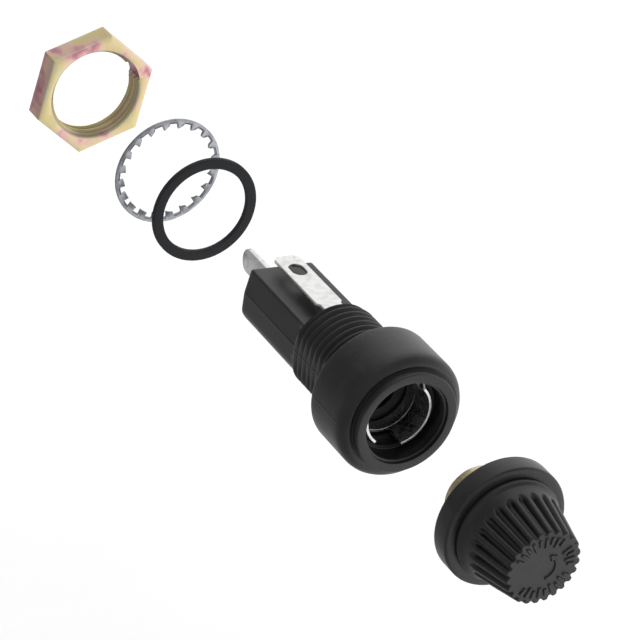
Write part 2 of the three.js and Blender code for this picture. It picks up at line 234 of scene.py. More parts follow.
# %% World
DIM_SIDE = 0.40
BRIGHT_SIDE = 1.15
SEEN_ROOM = 1.0
BRIGHT_WAY = Vector((0.94, 0.22, 0.26))
CARD = Vector((0.47, -0.48, 0.74)).normalized()
CARD_DEPTH = 0.62
BACK_CARD = Vector((-0.48, 0.74, 0.47)).normalized()
BACK_CARD_DEPTH = 0.45
LOW_FRONT = Vector((0.47, -0.74, -0.48)).normalized()
LOW_FRONT_GLOW = 0.42


def light_the_room():
    world = bpy.data.worlds.new("studio")
    world.use_nodes = True
    surroundings = world.node_tree.nodes["Background"]
    surroundings.inputs["Color"].default_value = (1.0, 1.0, 1.0, 1)
    start = Signal(world.node_tree)
    towards = start.node("ShaderNodeTexCoord", output="Generated")
    level = DIM_SIDE + (BRIGHT_SIDE - DIM_SIDE) * towards.along(BRIGHT_WAY).ramp(-0.55, 0.80)
    level = level * (1 - CARD_DEPTH * towards.along(CARD).ramp(0.72, 0.97))
    level = level * (1 - BACK_CARD_DEPTH * towards.along(BACK_CARD).ramp(0.68, 0.95))
    level = level + LOW_FRONT_GLOW * towards.along(LOW_FRONT).ramp(0.55, 0.95)
    seen = start.node("ShaderNodeLightPath", output="Is Camera Ray")
    connect(world.node_tree, surroundings.inputs["Strength"], level + seen * (SEEN_ROOM - level))
    bpy.context.scene.world = world


light_the_room()

# %% Lamps
LAMP_SIDE = 620
LAMPS = {
    "lamp_overhead": ((160, 260, 640), 3.2),
    "lamp_front_right": ((380, -520, 40), 1.2),
}


def soft_lamp(name, place, watts):
    """A square lamp that faces the middle of the pieces; its place is in millimetres."""
    data = bpy.data.lights.new(name, "AREA")
    data.shape = "SQUARE"
    data.size = LAMP_SIDE * MM
    data.energy = watts
    lamp = add_object(name, data)
    lamp.location = Vector(place) * MM
    towards = (cad_low + cad_high) / 2 - lamp.location
    lamp.rotation_euler = towards.to_track_quat("-Z", "Y").to_euler()
    lamp.visible_glossy = False


for name, (place, watts) in LAMPS.items():
    soft_lamp(name, place, watts)
bpy.context.scene.view_settings.view_transform = "Standard"
print("lamps:", len(bpy.data.lights))

# %% [markdown]
# ## Textures every finish uses
#
# All textures are three-dimensional and read the place inside the piece, in millimetres. A grain
# then has the same size on every piece, nothing needs to be unwrapped, and the pattern travels with
# the piece when it moves.

# %% Position, noise, scratches, bump and the finish itself
def position(start):
    """Place inside the piece, in millimetres."""
    where = start.node("ShaderNodeTexCoord", output="Object")
    return start.node("ShaderNodeVectorMath", {"operation": "SCALE"},
                      {0: where, "Scale": 1 / MM})


def stretched(where, x, y, z):
    return where.node("ShaderNodeVectorMath", {"operation": "MULTIPLY"}, {0: where, 1: (x, y, z)})


def noise(where, per_mm, detail=2.0, distortion=0.0):
    """A cloudy value around 0.5, with per_mm lumps to the millimetre."""
    return where.node("ShaderNodeTexNoise", None, {
        "Vector": where, "Scale": per_mm, "Detail": detail, "Distortion": distortion})


def specks(where, per_mm, size):
    """1 inside round specks, 0 outside; size is their share of the spacing."""
    cells = where.node("ShaderNodeTexVoronoi", {"feature": "F1"},
                       {"Vector": where, "Scale": per_mm})
    return cells.ramp(size, size * 0.6)


def mixed(amount, first, second):
    """From the first colour to the second as the amount goes from 0 to 1."""
    settings = {"data_type": "RGBA"}
    colours = [value if isinstance(value, Signal) else (*value, 1) for value in (first, second)]
    return amount.node("ShaderNodeMix", settings, {0: amount, 6: colours[0], 7: colours[1]}, 2)


def bump(height):
    """A normal for a relief whose height is given in millimetres."""
    return height.node("ShaderNodeBump", None, {"Height": height, "Distance": MM, "Strength": 1.0})


def new_finish(name, constants=None):
    """An empty material: where its pattern is read, and a function that feeds its shader."""
    material = bpy.data.materials.new(name)
    material.use_nodes = True
    tree = material.node_tree
    shader = tree.nodes["Principled BSDF"]
    for socket, value in (constants or {}).items():
        shader.inputs[socket].default_value = value

    def feed(**sockets):
        for socket, value in sockets.items():
            connect(tree, shader.inputs[socket.replace("_", " ")], value)
        return material

    return position(Signal(tree)), feed


# %% [markdown]
# ## Black phenolic
#
# The housing and the cap are pressed from a filled black resin. Out of the mould it is satin: a
# soft orange peel of about half a millimetre, a much finer grain, and a few pale specks of filler
# and dust. The base colour is very dark, and the shine is kept low by a fixed specular level.

# %% The moulded black finish
def black_phenolic():
    where, feed = new_finish("black_phenolic", {"Specular IOR Level": 0.48})
    peel = noise(where, 1.7, 3.0)
    grain = noise(where, 9.0, 2.0)
    clouds = noise(where, 0.35, 3.0, 0.6)
    dust = specks(where, 1.3, 0.07)
    scuffs = noise(stretched(where, 0.5, 3.0, 1.1), 1.4, 4.0).ramp(0.62, 0.78)
    colour = mixed(clouds.ramp(0.3, 0.7), (0.0085, 0.0080, 0.0094), (0.0135, 0.0128, 0.0142))
    colour = mixed(dust * 0.45 + scuffs * 0.12, colour, (0.085, 0.083, 0.080))
    relief = bump(peel * 0.030 + grain * 0.006 + dust * 0.008)
    roughness = 0.33 + clouds * 0.12 + scuffs * 0.08
    return feed(Base_Color=colour, Roughness=roughness, Normal=relief)


# %% [markdown]
# ## Rubber
#
# The gasket is punched from black sheet. It is matt, with a fine dusty grain and small pits.

# %% The gasket's finish
def black_rubber():
    where, feed = new_finish("black_rubber", {"Specular IOR Level": 0.30})
    grain = noise(where, 6.0, 4.0)
    clouds = noise(where, 0.5, 3.0)
    pits = specks(where, 1.6, 0.12)
    bloom = clouds.ramp(0.35, 0.75)
    colour = mixed(bloom, (0.0135, 0.0145, 0.0165), (0.024, 0.025, 0.028))
    relief = bump(grain * 0.020 - pits * 0.03)
    return feed(Base_Color=colour, Roughness=0.62 + bloom * 0.2, Normal=relief)


# %% [markdown]
# ## Tinned brass
#
# The terminals and the sleeve are stamped brass dipped in tin, bright in some places and milky in
# others. The tin ran a little before it set, which gives broad shallow waves, and handling has left
# fine scratches along the strip.

# %% The tinned finish
def tinned_brass():
    where, feed = new_finish("tinned_brass", {"Metallic": 1.0})
    waves = noise(where, 0.55, 2.0, 0.8)
    milk = noise(where, 0.9, 4.0, 0.5).ramp(0.35, 0.75)
    scratches = noise(stretched(where, 7.0, 0.35, 7.0), 1.0, 3.0).ramp(0.58, 0.75)
    pores = specks(where, 2.2, 0.08)
    colour = mixed(milk, (0.78, 0.78, 0.77), (0.68, 0.68, 0.67))
    colour = mixed(scratches * 0.20 + pores * 0.3, colour, (0.46, 0.46, 0.46))
    relief = bump(waves * 0.035 - scratches * 0.002 - pores * 0.003)
    roughness = 0.26 + milk * 0.16 + scratches * 0.08
    return feed(Base_Color=colour, Roughness=roughness, Normal=relief)


# %% [markdown]
# ## Spring brass and spring steel
#
# Sheet brass keeps the fine lines of the rolling mill and tarnishes in brown clouds. Spring wire is
# drawn through a die, so on a coil its lines run round the axis.

# %% Two plain metals
def rolled_metal(name, bright, dull, lines):
    """Bare metal with rolling or drawing lines; lines says how the noise is stretched."""
    where, feed = new_finish(name, {"Metallic": 1.0})
    tarnish = noise(where, 0.7, 4.0, 0.7).ramp(0.38, 0.72)
    grooves = noise(stretched(where, *lines), 1.0, 3.0)
    spots = specks(where, 1.1, 0.10)
    colour = mixed(tarnish * 0.8 + spots * 0.2, bright, dull)
    relief = bump(grooves * 0.006 - spots * 0.005)
    return feed(Base_Color=colour, Roughness=0.24 + tarnish * 0.16 + grooves * 0.05, Normal=relief)


# %% [markdown]
# ## Tumbled grey steel
#
# Lock washers are tumbled in a barrel to take the burrs off. That leaves a finely dented surface,
# neither polished nor matt, with darker smudges.

# %% The washer's finish
def grey_steel():
    where, feed = new_finish("grey_steel", {"Metallic": 1.0})
    dents = noise(where, 2.4, 4.0)
    smudge = noise(where, 0.6, 3.0, 0.6).ramp(0.4, 0.7)
    nicks = specks(where, 1.5, 0.12)
    colour = mixed(smudge, (0.42, 0.43, 0.46), (0.27, 0.28, 0.30))
    colour = mixed(nicks * 0.5, colour, (0.16, 0.16, 0.17))
    relief = bump(dents * 0.028 - nicks * 0.015)
    return feed(Base_Color=colour, Roughness=0.34 + dents * 0.16, Normal=relief)


# %% [markdown]
# ## Yellow iridescent zinc
#
# The nut is zinc plated and dipped in a passivate, whose very thin film shows its thickness as
# colour: straw, gold, pink and mauve. Real thin-film colours depend on the view, which a baked
# finish can't keep, so the thickness is drawn as broad clouds and looked up in a row of colours.
# The flats that face down and to the left are pushed along the row towards dark mauve: painted
# shade for the side that gets less light. The rounded edges are painted nearly white, a painted
# highlight. In the thread, found by its distance from the axis, the crests are gold and the
# grooves are darkened with painted shade.

# %% The nut's finish
NUT_HOLE = 8.15
NUT_THREAD = 0.78
# The film's own straw, gold and pink, and dark mauve stops that the down-left flats reach as painted
# shade.
FILM_AND_SHADE_COLOURS = [
    (0.00, (0.66, 0.62, 0.40)),
    (0.22, (0.72, 0.60, 0.30)),
    (0.42, (0.76, 0.60, 0.40)),
    (0.56, (0.78, 0.50, 0.45)),
    (0.72, (0.56, 0.24, 0.29)),
    (0.90, (0.46, 0.23, 0.30)),
    (1.00, (0.50, 0.50, 0.46)),
]


def yellow_zinc(shade_facing):
    """The passivated finish; its argument is the way the flats face that get painted shade in dark mauve.
    """
    where, feed = new_finish("yellow_zinc", {"Metallic": 1.0})
    facing = where.node("ShaderNodeTexCoord", output="Normal")
    shaded_side = facing.along(shade_facing)
    clouds = noise(where, 0.19, 2.0, 0.4)
    streaks = noise(stretched(where, 0.5, 0.12, 0.5), 1.0, 3.0, 0.8)
    # Flats facing down and to the left are pushed towards the dark mauve end of the row: painted shade.
    film_and_shade = 0.35 + shaded_side.ramp(0.35, 0.95) * 0.40 + (clouds - 0.5) * 1.35 + (streaks - 0.5) * 0.45
    colour = film_and_shade.node("ShaderNodeValToRGB", {"stops": FILM_AND_SHADE_COLOURS}, {0: film_and_shade})
    from_axis = where.node("ShaderNodeVectorMath", {"operation": "LENGTH"},
                           {0: stretched(where, 1, 0, 1)}, output="Value")
    in_thread = from_axis.ramp(NUT_HOLE + NUT_THREAD + 0.15, NUT_HOLE + 0.35)
    # Painted shade in the thread: gold at the crests, near black deep in the grooves.
    groove_shade = from_axis.ramp(NUT_HOLE + 0.10, NUT_HOLE + NUT_THREAD * 0.9)
    shaded_thread_colour = mixed(groove_shade, (0.62, 0.52, 0.26), (0.10, 0.08, 0.03))
    colour = mixed(in_thread * 0.72, colour, shaded_thread_colour)
    to_axis = facing.along((0, 1, 0)).size()
    # Rounded edges outside the thread are painted nearly white: a painted highlight.
    painted_edge_highlight = to_axis.ramp(0.12, 0.35) * (1 - to_axis.ramp(0.80, 0.97)) * (1 - in_thread)
    colour = mixed(painted_edge_highlight * 0.7, colour, (0.86, 0.85, 0.82))
    grain = noise(where, 3.2, 4.0)
    pits = specks(where, 1.2, 0.09)
    colour = mixed(pits * 0.5, colour, (0.25, 0.20, 0.13))
    relief = bump(grain * 0.022 - pits * 0.012)
    roughness = 0.36 + grain * 0.16 - in_thread * 0.14
    return feed(Base_Color=colour, Roughness=roughness, Normal=relief)


# %% All finishes, by the record's slots
FINISHES = {
    "black_phenolic": black_phenolic(),
    "black_rubber": black_rubber(),
    "tinned_brass": tinned_brass(),
    "spring_brass": rolled_metal("spring_brass", (0.60, 0.50, 0.34), (0.38, 0.30, 0.19), (6, 0.5, 6)),
    "spring_steel": rolled_metal("spring_steel", (0.50, 0.51, 0.52), (0.28, 0.28, 0.29), (1, 9, 1)),
    "grey_steel": grey_steel(),
    "yellow_zinc": yellow_zinc((-0.93, 0.0, -0.37)),
}
print("finishes:", ", ".join(FINISHES))

# %% [markdown]
# ## Outlines
#
# Nearly all pieces are turned or moulded round the axis. Each starts as an outline, a few corners
# (radius, s, rounding). No real corner is quite sharp, so each is replaced by an arc of its own
# rounding, which later catches a thin line of light.

# %% Rounding an outline
ARC_STEP = math.radians(18)


def unit(vector):
    return vector / np.linalg.norm(vector)


def arc_at(corner, before, after, radius):
    """Points of the arc that rounds the corner between two neighbours."""
    towards, away = unit(before - corner), unit(after - corner)
    half = math.acos(np.clip(towards @ away, -1, 1)) / 2
    centre = corner + unit(towards + away) * radius / math.sin(half)
    first = corner + towards * radius / math.tan(half) - centre
    last = corner + away * radius / math.tan(half) - centre
    turn = math.pi - 2 * half
    steps = max(2, math.ceil(turn / ARC_STEP))
    points = []
    for i in range(steps + 1):
        share = i / steps
        mixed_in = (math.sin((1 - share) * turn) * first + math.sin(share * turn) * last)
        points.append(centre + mixed_in / math.sin(turn))
    return points


def rounded(corners, closed=False):
    """An outline through corners (a, b, rounding)."""
    points = []
    count = len(corners)
    for i, (a, b, radius) in enumerate(corners):
        corner = np.array((a, b), float)
        at_end = not closed and i in (0, count - 1)
        if radius == 0 or at_end:
            points.append(corner)
            continue
        before = np.array(corners[i - 1][:2], float)
        after = np.array(corners[(i + 1) % count][:2], float)
        points.extend(arc_at(corner, before, after, radius))
    return np.array(points)


def densified(points, spacing, closed=False):
    """The same outline with extra points, so that none are further apart than the spacing."""
    result = []
    ends = np.roll(points, -1, axis=0)
    for i, (start, end) in enumerate(zip(points, ends)):
        result.append(start)
        if i == len(points) - 1 and not closed:
            break
        pieces = max(1, math.ceil(np.linalg.norm(end - start) / spacing))
        for k in range(1, pieces):
            result.append(start + (end - start) * k / pieces)
    return np.array(result)


# %% [markdown]
# ## Skins
#
# A skin is stretched over a row of rings with the same number of points, like cloth over hoops. A
# ring whose points all lie together becomes one point, which closes an end, and when the last ring
# joins the first, the skin is a closed tube. The mesh is watertight, so it can be cut like a solid.

# %% From rings to a mesh
def ring(radius, s, angles):
    """Points about the axis. The radius and s may be numbers or one value for each angle."""
    radius = np.broadcast_to(radius, angles.shape)
    s = np.broadcast_to(s, angles.shape)
    return np.stack([radius * np.cos(angles), -s, radius * np.sin(angles)], axis=1)


def full_turn(count, start=0.0):
    return start + np.arange(count) * TAU / count


def skin(name, rings, closed=False, crease=32):
    """A watertight mesh over rings given in millimetres, smooth except across sharp edges."""
    corners = []
    rows = []
    for points in rings:
        start = len(corners)
        if np.ptp(points, axis=0).max() < 1e-6:
            corners.append(points[0])
            rows.append([start])
        else:
            corners.extend(points)
            rows.append(list(range(start, start + len(points))))
    pairs = list(zip(rows, rows[1:]))
    if closed:
        pairs.append((rows[-1], rows[0]))
    faces = []
    for low, high in pairs:
        count = max(len(low), len(high))
        for i in range(count):
            k = (i + 1) % count
            if len(low) == 1:
                faces.append((low[0], high[k], high[i]))
            elif len(high) == 1:
                faces.append((low[i], low[k], high[0]))
            else:
                faces.append((low[i], low[k], high[k], high[i]))
    return mesh_piece(name, np.array(corners), faces, crease)


def mesh_piece(name, corners, faces, crease):
    corners = corners * MM
    first, second, third = (corners[[face[i] for face in faces]] for i in range(3))
    fourth = corners[[face[-1] for face in faces]]
    volume = np.einsum("ij,ij->", first, np.cross(second, third) + np.cross(third, fourth))
    if volume < 0:
        faces = [face[::-1] for face in faces]
    mesh = bpy.data.meshes.new(name)
    mesh.from_pydata(corners.tolist(), [], faces)
    return add_object(name, smoothed(mesh, crease))


def smoothed(mesh, crease):
    """Shaded smooth, except across edges sharper than the crease in degrees."""
    mesh.shade_smooth()
    mesh.set_sharp_from_angle(angle=math.radians(crease))
    return mesh


def swept(name, sections, crease=32):
    """A skin over open sections, with each end drawn together in its middle."""
    ends = [np.repeat(sections[i].mean(axis=0)[None], len(sections[i]), axis=0) for i in (0, -1)]
    return skin(name, [ends[0], *sections, ends[1]], crease=crease)


def turned(name, corners, count=160, closed=True, crease=32):
    """A turned piece from its rounded outline."""
    angles = full_turn(count)
    outline = rounded(corners, closed)
    return skin(name, [ring(radius, s, angles) for radius, s in outline], closed, crease)


# %% [markdown]
# ## Cutting
#
# Slots and windows are cut with Boolean modifiers. The manifold solver is fast and exact on
# watertight meshes.

# %% Boolean cuts
def combine(piece, tool, operation="DIFFERENCE", crease=32):
    """Cuts the tool out of the piece, or joins it on, and removes the tool."""
    modifier = piece.modifiers.new("combine", "BOOLEAN")
    modifier.operation = operation
    modifier.solver = "MANIFOLD"
    modifier.object = tool
    bpy.context.view_layer.update()
    depsgraph = bpy.context.evaluated_depsgraph_get()
    mesh = bpy.data.meshes.new_from_object(piece.evaluated_get(depsgraph))
    piece.modifiers.clear()
    piece.data = smoothed(mesh, crease)
    mesh.name = piece.name
    bpy.data.objects.remove(tool)
    return piece


def slab(name, outline, low, high, stand, edge=0.0):
    """A plate: a flat outline, given depth between low and high, with its edges rounded off.
    stand puts the outline in its place at one depth."""
    depths = [(low, edge)]
    if edge:
        for share in (0.29, 1.0):
            depths.append((low + edge * share, edge * (1 - share) * 0.41))
        depths += [(low + high - depth, inset) for depth, inset in reversed(depths[:])]
    else:
        depths.append((high, 0.0))
    normals = outward(outline)
    return swept(name, [stand(outline - normals * inset, depth) for depth, inset in depths])


def outward(outline):
    """The direction away from the inside at each point of a closed flat outline."""
    along = np.roll(outline, -1, axis=0) - np.roll(outline, 1, axis=0)
    side = np.stack([along[:, 1], -along[:, 0]], axis=1)
    following = np.roll(outline, -1, axis=0)
    area = np.sum(outline[:, 0] * following[:, 1] - outline[:, 1] * following[:, 0])
    return side / np.linalg.norm(side, axis=1)[:, None] * np.sign(area)


def across_axis(outline, s):
    """A flat outline (x, z) at one place along the axis."""
    return np.insert(outline, 1, -s, axis=1)


def upright(outline, x):
    """A flat outline (s, z) standing upright along the axis."""
    return np.insert(outline * (-1, 1), 0, x, axis=1)


def lying(outline, z):
    """A flat outline (x, s) lying at one height."""
    return np.insert(outline * (1, -1), 2, z, axis=1)


def oblong(half_a, half_b, centre=(0.0, 0.0), radius=0.05):
    """A rectangle with rounded corners."""
    a, b = centre
    return rounded([
        (a - half_a, b - half_b, radius), (a + half_a, b - half_b, radius),
        (a + half_a, b + half_b, radius), (a - half_a, b + half_b, radius)], closed=True)


def stood_up(angle, outline):
    """A flat outline (radius, s) stood up at one angle about the axis."""
    radius, s = np.asarray(outline, float).T
    return np.stack([radius * math.cos(angle), -s, radius * math.sin(angle)], axis=1)


def wedge(inner, outer, start, end, rear, front):
    """A part of a thick ring between two angles in degrees, from +X towards +Z."""
    outline = [(inner, rear), (outer, rear), (outer, front), (inner, front)]
    angles = np.radians(np.linspace(start, end, max(4, int(abs(end - start) / 3))))
    return swept("wedge", [stood_up(angle, outline) for angle in angles])


# %% Dressing a piece
def dress(piece, body, slot, *nodes):
    """Gives a piece its finish, hangs it on the body it moves with and hides the nodes it stands for."""
    piece.data.materials.clear()
    piece.data.materials.append(FINISHES[slot])
    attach(piece, body)
    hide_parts(*nodes)
    print(f"{piece.name}: {len(piece.data.polygons)} faces, rides on {body}")
    return piece


# %% [markdown]
# ## Floor
#
# A plain pale floor, far enough below the pieces that it only shows as an even light ground. The
# pieces mirror the room instead of it, so their lower sides keep the room's gradient.

# %% The floor
FLOOR_DROP = 70
FLOOR_REACH = 6.0


def lay_floor():
    far = FLOOR_REACH
    mesh = bpy.data.meshes.new("floor")
    mesh.from_pydata([(-far, -far, 0), (far, -far, 0), (far, far, 0), (-far, far, 0)], [], [(0, 1, 2, 3)])
    floor = add_object("floor", mesh)
    floor.location.z = cad_low.z - FLOOR_DROP * MM
    floor.visible_glossy = False
    where, feed = new_finish("pale_floor", {"Specular IOR Level": 0.1})
    tint = noise(where, 0.004, 2.0)
    mesh.materials.append(feed(Base_Color=mixed(tint, (0.93, 0.93, 0.93), (0.95, 0.95, 0.95)),
                               Roughness=0.9 - tint * 0.05))


lay_floor()

# %% [markdown]
# ## Housing
#
# The housing is one moulding: a stem with a flat top, a threaded barrel with a flat on each side and
# a round head. Joining separate solids would leave hard seams that a moulding doesn't have, so one
# skin runs over the whole outside, down the bore, and closes on itself. Each ring takes the least of
# several limits in every direction, rounded where two of them meet. The thread's crests are
# rounded, and there is a small ledge inside the mouth.

# %% The least of several limits, with a rounded edge
def soft_least(hardness, *limits):
    total = sum(np.asarray(limit, float) ** -hardness for limit in limits)
    return total ** (-1 / hardness)


def plane_limit(distance, across):
    """How far a flat face lies along each direction; across is how squarely that faces it."""
    return distance / np.maximum(across, 1e-3)


# %% Stem, flats and the mould's parting line
HALF_STEM = 6.5
STEM_DRAFT = 0.179
STEM_TOP = 4.2
STEM_BOTTOM = 7.43
STEM_EDGES = 42
FLAT = 7.13
PARTING_HEIGHT = 0.07
PARTING_HALF = 0.09


def stem_limit(angles):
    """The stem's section: rounded below, drafted sides, flat top."""
    sine, cosine = np.sin(angles), np.abs(np.cos(angles))
    side = plane_limit(HALF_STEM, cosine + STEM_DRAFT * np.maximum(sine, 0))
    top = plane_limit(STEM_TOP, sine)
    return soft_least(STEM_EDGES, top, side, np.full(angles.shape, STEM_BOTTOM))


def parting_ridge(angles, radius):
    """The thin line of flash where the two halves of the mould met, on both sides."""
    off_line = np.abs(np.sin(angles)) * radius / PARTING_HALF
    return PARTING_HEIGHT * np.exp(-off_line ** 2)


# %% The barrel's thread
BARREL_REAR = -13.7
CREST = 7.93
ROOT = 7.2
PITCH = 1.5
THREAD_SIDES = 50
CORE = 6.9


def thread_wave(angles, s):
    """0 at the root and 1 at the crest of a right-handed thread."""
    turns = s / PITCH - angles / TAU
    from_crest = np.abs(turns - np.round(turns)) * 2
    return (0.5 + 0.5 * np.cos(math.pi * from_crest)) ** 0.8


def barrel_limit(angles, s):
    lead = ROOT - 0.25 + 1.1 * (s - BARREL_REAR)
    relief = ROOT + 1.2 * max(0, -0.7 - s)
    thread = ROOT + (CREST - ROOT) * thread_wave(angles, s)
    thread = np.minimum(np.minimum(thread, lead), max(relief, ROOT))
    return soft_least(THREAD_SIDES, thread, plane_limit(FLAT, np.abs(np.cos(angles))))


# %% The housing's skin
HEAD_RADIUS = 11.04
RING_RADIUS = 8.95
MOUTH_RADIUS = 7.36
LEDGE_DEPTH = 0.6
BORE_RADIUS = 6.92
BORE_FLOOR = 8.0
SLEEVE_HOLE = 6.3
SLEEVE_HOLE_REAR = 1.7
FUSE_BORE = 3.5
REAR_WALL = 1.5
STEM_EDGE = 0.55
THREAD_STEP = 0.115


def housing_angles():
    fine = np.radians([-0.6, -0.3, 0.3, 0.6])
    return np.sort(np.concatenate([full_turn(360), fine + TAU / 2, fine[2:], fine[:2] + TAU]))


def housing_rings():
    rear, front, _ = span("housing")
    angles = housing_angles()
    rings = [ring(0.0, rear, angles)]
    stem = stem_limit(angles)
    for share in (0.3, 0.6, 0.9):
        rings.append(ring((stem - STEM_EDGE) * share, rear, angles))
    for lean in np.radians([0, 22, 45, 68, 90]):
        inset = STEM_EDGE * (1 - math.sin(lean))
        rings.append(ring(stem - inset, rear + STEM_EDGE * (1 - math.cos(lean)), angles))
    ridged = stem + parting_ridge(angles, stem)
    for s in np.linspace(rear + STEM_EDGE + 0.4, BARREL_REAR - 0.25, 14):
        rings.append(ring(ridged, s, angles))
    start = barrel_limit(angles, BARREL_REAR)
    rings.append(ring(np.maximum(start, stem + 0.05), BARREL_REAR - 0.02, angles))
    for s in np.arange(BARREL_REAR + 0.06, -0.12, THREAD_STEP):
        barrel = np.maximum(barrel_limit(angles, s), CORE)
        rings.append(ring(barrel + parting_ridge(angles, barrel) * 0.8, s, angles))
    rings.extend(head_rings(front, rear, angles))
    return rings


def head_rings(front, rear, angles):
    """From the barrel's root over the head, into the bore and down to its rear wall."""
    ledge = front - LEDGE_DEPTH
    outside = rounded([
        (ROOT, 0.0, 0), (HEAD_RADIUS, 0.0, 0.45), (HEAD_RADIUS + 0.02, 9.9, 2.0),
        (9.62, 10.42, 0.22), (RING_RADIUS + 0.02, 10.30, 0.10), (RING_RADIUS, front, 0.22),
        (MOUTH_RADIUS, front - 0.03, 0.10), (MOUTH_RADIUS - 0.02, ledge, 0.08),
        (BORE_RADIUS + 0.04, ledge - 0.03, 0.14), (BORE_RADIUS, BORE_FLOOR, 0.2),
        (SLEEVE_HOLE, BORE_FLOOR, 0.1), (SLEEVE_HOLE, SLEEVE_HOLE_REAR, 0.1),
        (FUSE_BORE, SLEEVE_HOLE_REAR, 0.2), (FUSE_BORE, rear + REAR_WALL, 0.2),
        (0.0, rear + REAR_WALL, 0),
    ])
    rings = []
    for radius, s in densified(outside, 1.6):
        on_side = radius > HEAD_RADIUS - 1.0 and 0.4 < s < 9.4
        ridge = parting_ridge(angles, radius) * 0.7 if on_side else 0.0
        rings.append(ring(radius + ridge, s, angles))
    return rings


housing = skin("housing_moulding", housing_rings(), crease=38)

# %% [markdown]
# The moulding is then cut: a slot through the rear wall for the blade, a flat slot under the thread
# for the side terminal, a deeper one where that strip laps over the sleeve, and a pocket for the
# sleeve's bridge.

# %% Slots in the housing
# Half width, half height, centre (x, z) and corner rounding of each slot.
BLADE_SLOT = (0.83, 2.45, (-0.52, 0.0), 0.2)
STRIP_SLOT = (2.2, 0.6, (0.0, 6.0), 0.12)
LAP_SLOT = (2.2, 0.9, (0.0, 6.3), 0.12)
LAP_SLOT_REAR = 0.4
BRIDGE_POCKET = {"inner": 4.95, "outer": 7.1, "start": 45, "end": 111, "rear": 3.6}
HOUSING_CREASE = 38


def cut_housing_slots():
    rear = span("housing")[0]
    past_floor = BORE_FLOOR + 0.1
    for name, shape, start, end in (
        ("blade_slot", BLADE_SLOT, rear - 1, rear + REAR_WALL + 1),
        ("strip_slot", STRIP_SLOT, BARREL_REAR - 1, past_floor),
        ("lap_slot", LAP_SLOT, LAP_SLOT_REAR, past_floor),
    ):
        slot = slab(name, oblong(*shape), start, end, across_axis)
        combine(housing, slot, crease=HOUSING_CREASE)
    combine(housing, wedge(front=past_floor, **BRIDGE_POCKET), crease=HOUSING_CREASE)


cut_housing_slots()
dress(housing, "housing_body", "black_phenolic", "housing")

# %% [markdown]
# ## Contact sleeve
#
# The sleeve is rolled from half-millimetre sheet. Its wall is open below, where one lug of the cap
# enters, and steps outwards over the upper lug as a bridge. Swept round the axis section by section,
# the wall can follow the step, which a turned shape couldn't. A closed collar behind holds the wall
# together, and two windows catch the lugs when the cap is turned.

# %% The sleeve
SLEEVE_MIDDLE = 5.7
SHEET = 0.25
BRIDGE_RISE = 0.82
BRIDGE_SETBACK = 0.7
WALL_RISE = 1.9
COLLAR = (5.41, 5.99)
COLLAR_FRONT = 4.5
WINDOW = {"inner": 5.0, "outer": 6.1, "rear": 6.15, "front": 7.85}
WINDOW_ANGLES = (27, 58)


def smooth(low, high, value):
    share = np.clip((value - low) / (high - low), 0, 1)
    return share * share * (3 - 2 * share)


def contact_sleeve():
    rear, front, _ = span("contact_sleeve")
    low = rear + WALL_RISE
    sections = []
    for degrees in np.linspace(-76, 232, 170):
        step = smooth(46, 54, degrees) * (1 - smooth(102, 110, degrees))
        high = front - BRIDGE_SETBACK * step
        middle = (SLEEVE_MIDDLE + BRIDGE_RISE * step, (high + low) / 2)
        sections.append(stood_up(math.radians(degrees), oblong(SHEET, (high - low) / 2, middle, 0.09)))
    sleeve = swept("sleeve", sections, crease=40)
    inner, outer = COLLAR
    collar = turned("collar", [
        (inner, rear, 0.1), (outer, rear, 0.1), (outer, COLLAR_FRONT, 0.1),
        (inner, COLLAR_FRONT, 0.1)], 120)
    combine(sleeve, collar, "UNION", 40)
    for turn in (0, 180):
        start, end = (angle + turn for angle in WINDOW_ANGLES)
        combine(sleeve, wedge(start=start, end=end, **WINDOW), crease=40)
    return dress(sleeve, "housing_body", "tinned_brass", "contact_sleeve")


contact_sleeve()

# %% [markdown]
# ## Terminals
#
# Both terminals are blanked from strip and bent. The side terminal lies over the stem: chamfered
# corners, an oblong eye for the wire, a narrower neck under the thread, and a lap that rises over
# the sleeve. Cross-sections in a row along the strip give all of that, with the long edges rounded.
# The end terminal is a blade that stands upright in the stem's rear wall, on a round foot inside.

# %% The side terminal
STRIP_HALF = 2.4
NECK_HALF = 1.9
STRIP_CORNER = 0.9
STRIP_BOTTOM = 5.7
STRIP_THICK = 0.6
LAP_RISE = 0.6
NECK_START = -16.4
EYE = (1.3, 1.9, (0.0, -27.4), 1.299)
EYE_BITE = 0.1


def side_terminal():
    rear, front, _ = span("side_terminal")
    tip = STRIP_HALF - STRIP_CORNER
    corner = rear + STRIP_CORNER
    # Each station is a place along the strip and the strip's half width there.
    stations = [
        (rear, tip - 0.05), (rear + 0.06, tip + 0.06), (corner, STRIP_HALF - 0.02),
        (corner + 0.08, STRIP_HALF), (NECK_START - 0.05, STRIP_HALF),
        (NECK_START, STRIP_HALF - 0.03), (NECK_START + 0.4, NECK_HALF + 0.03)]
    neck = (NECK_START + 0.5, -8, *np.linspace(0.5, 1.5, 6), front - 0.06, front)
    stations += [(s, NECK_HALF) for s in neck]
    sections = []
    for s, half in stations:
        thin = STRIP_THICK / 2 - (0.07 if s in (rear, front) else 0)
        middle = STRIP_BOTTOM + STRIP_THICK / 2 + LAP_RISE * smooth(0.6, 1.4, s)
        sections.append(across_axis(oblong(half, thin, (0.0, middle), 0.13), s))
    strip = swept("side_terminal_strip", sections)
    eye = oblong(*EYE)
    normals = outward(eye)
    heights = [(-0.5, 0.5), (EYE_BITE, 0.0), (STRIP_THICK - EYE_BITE, 0.0), (STRIP_THICK + 0.5, 0.5)]
    rings = [lying(eye + normals * flare, STRIP_BOTTOM + height) for height, flare in heights]
    combine(strip, swept("eye", rings))
    return dress(strip, "housing_body", "tinned_brass", "side_terminal")


side_terminal()

# %% The end terminal
BLADE_LEFT = -1.05
BLADE_RIGHT = 0.0
BLADE_HALF = 2.15
BLADE_ROUND = 1.85
FOOT_RADIUS = 2.9
FOOT_THICK = 0.6


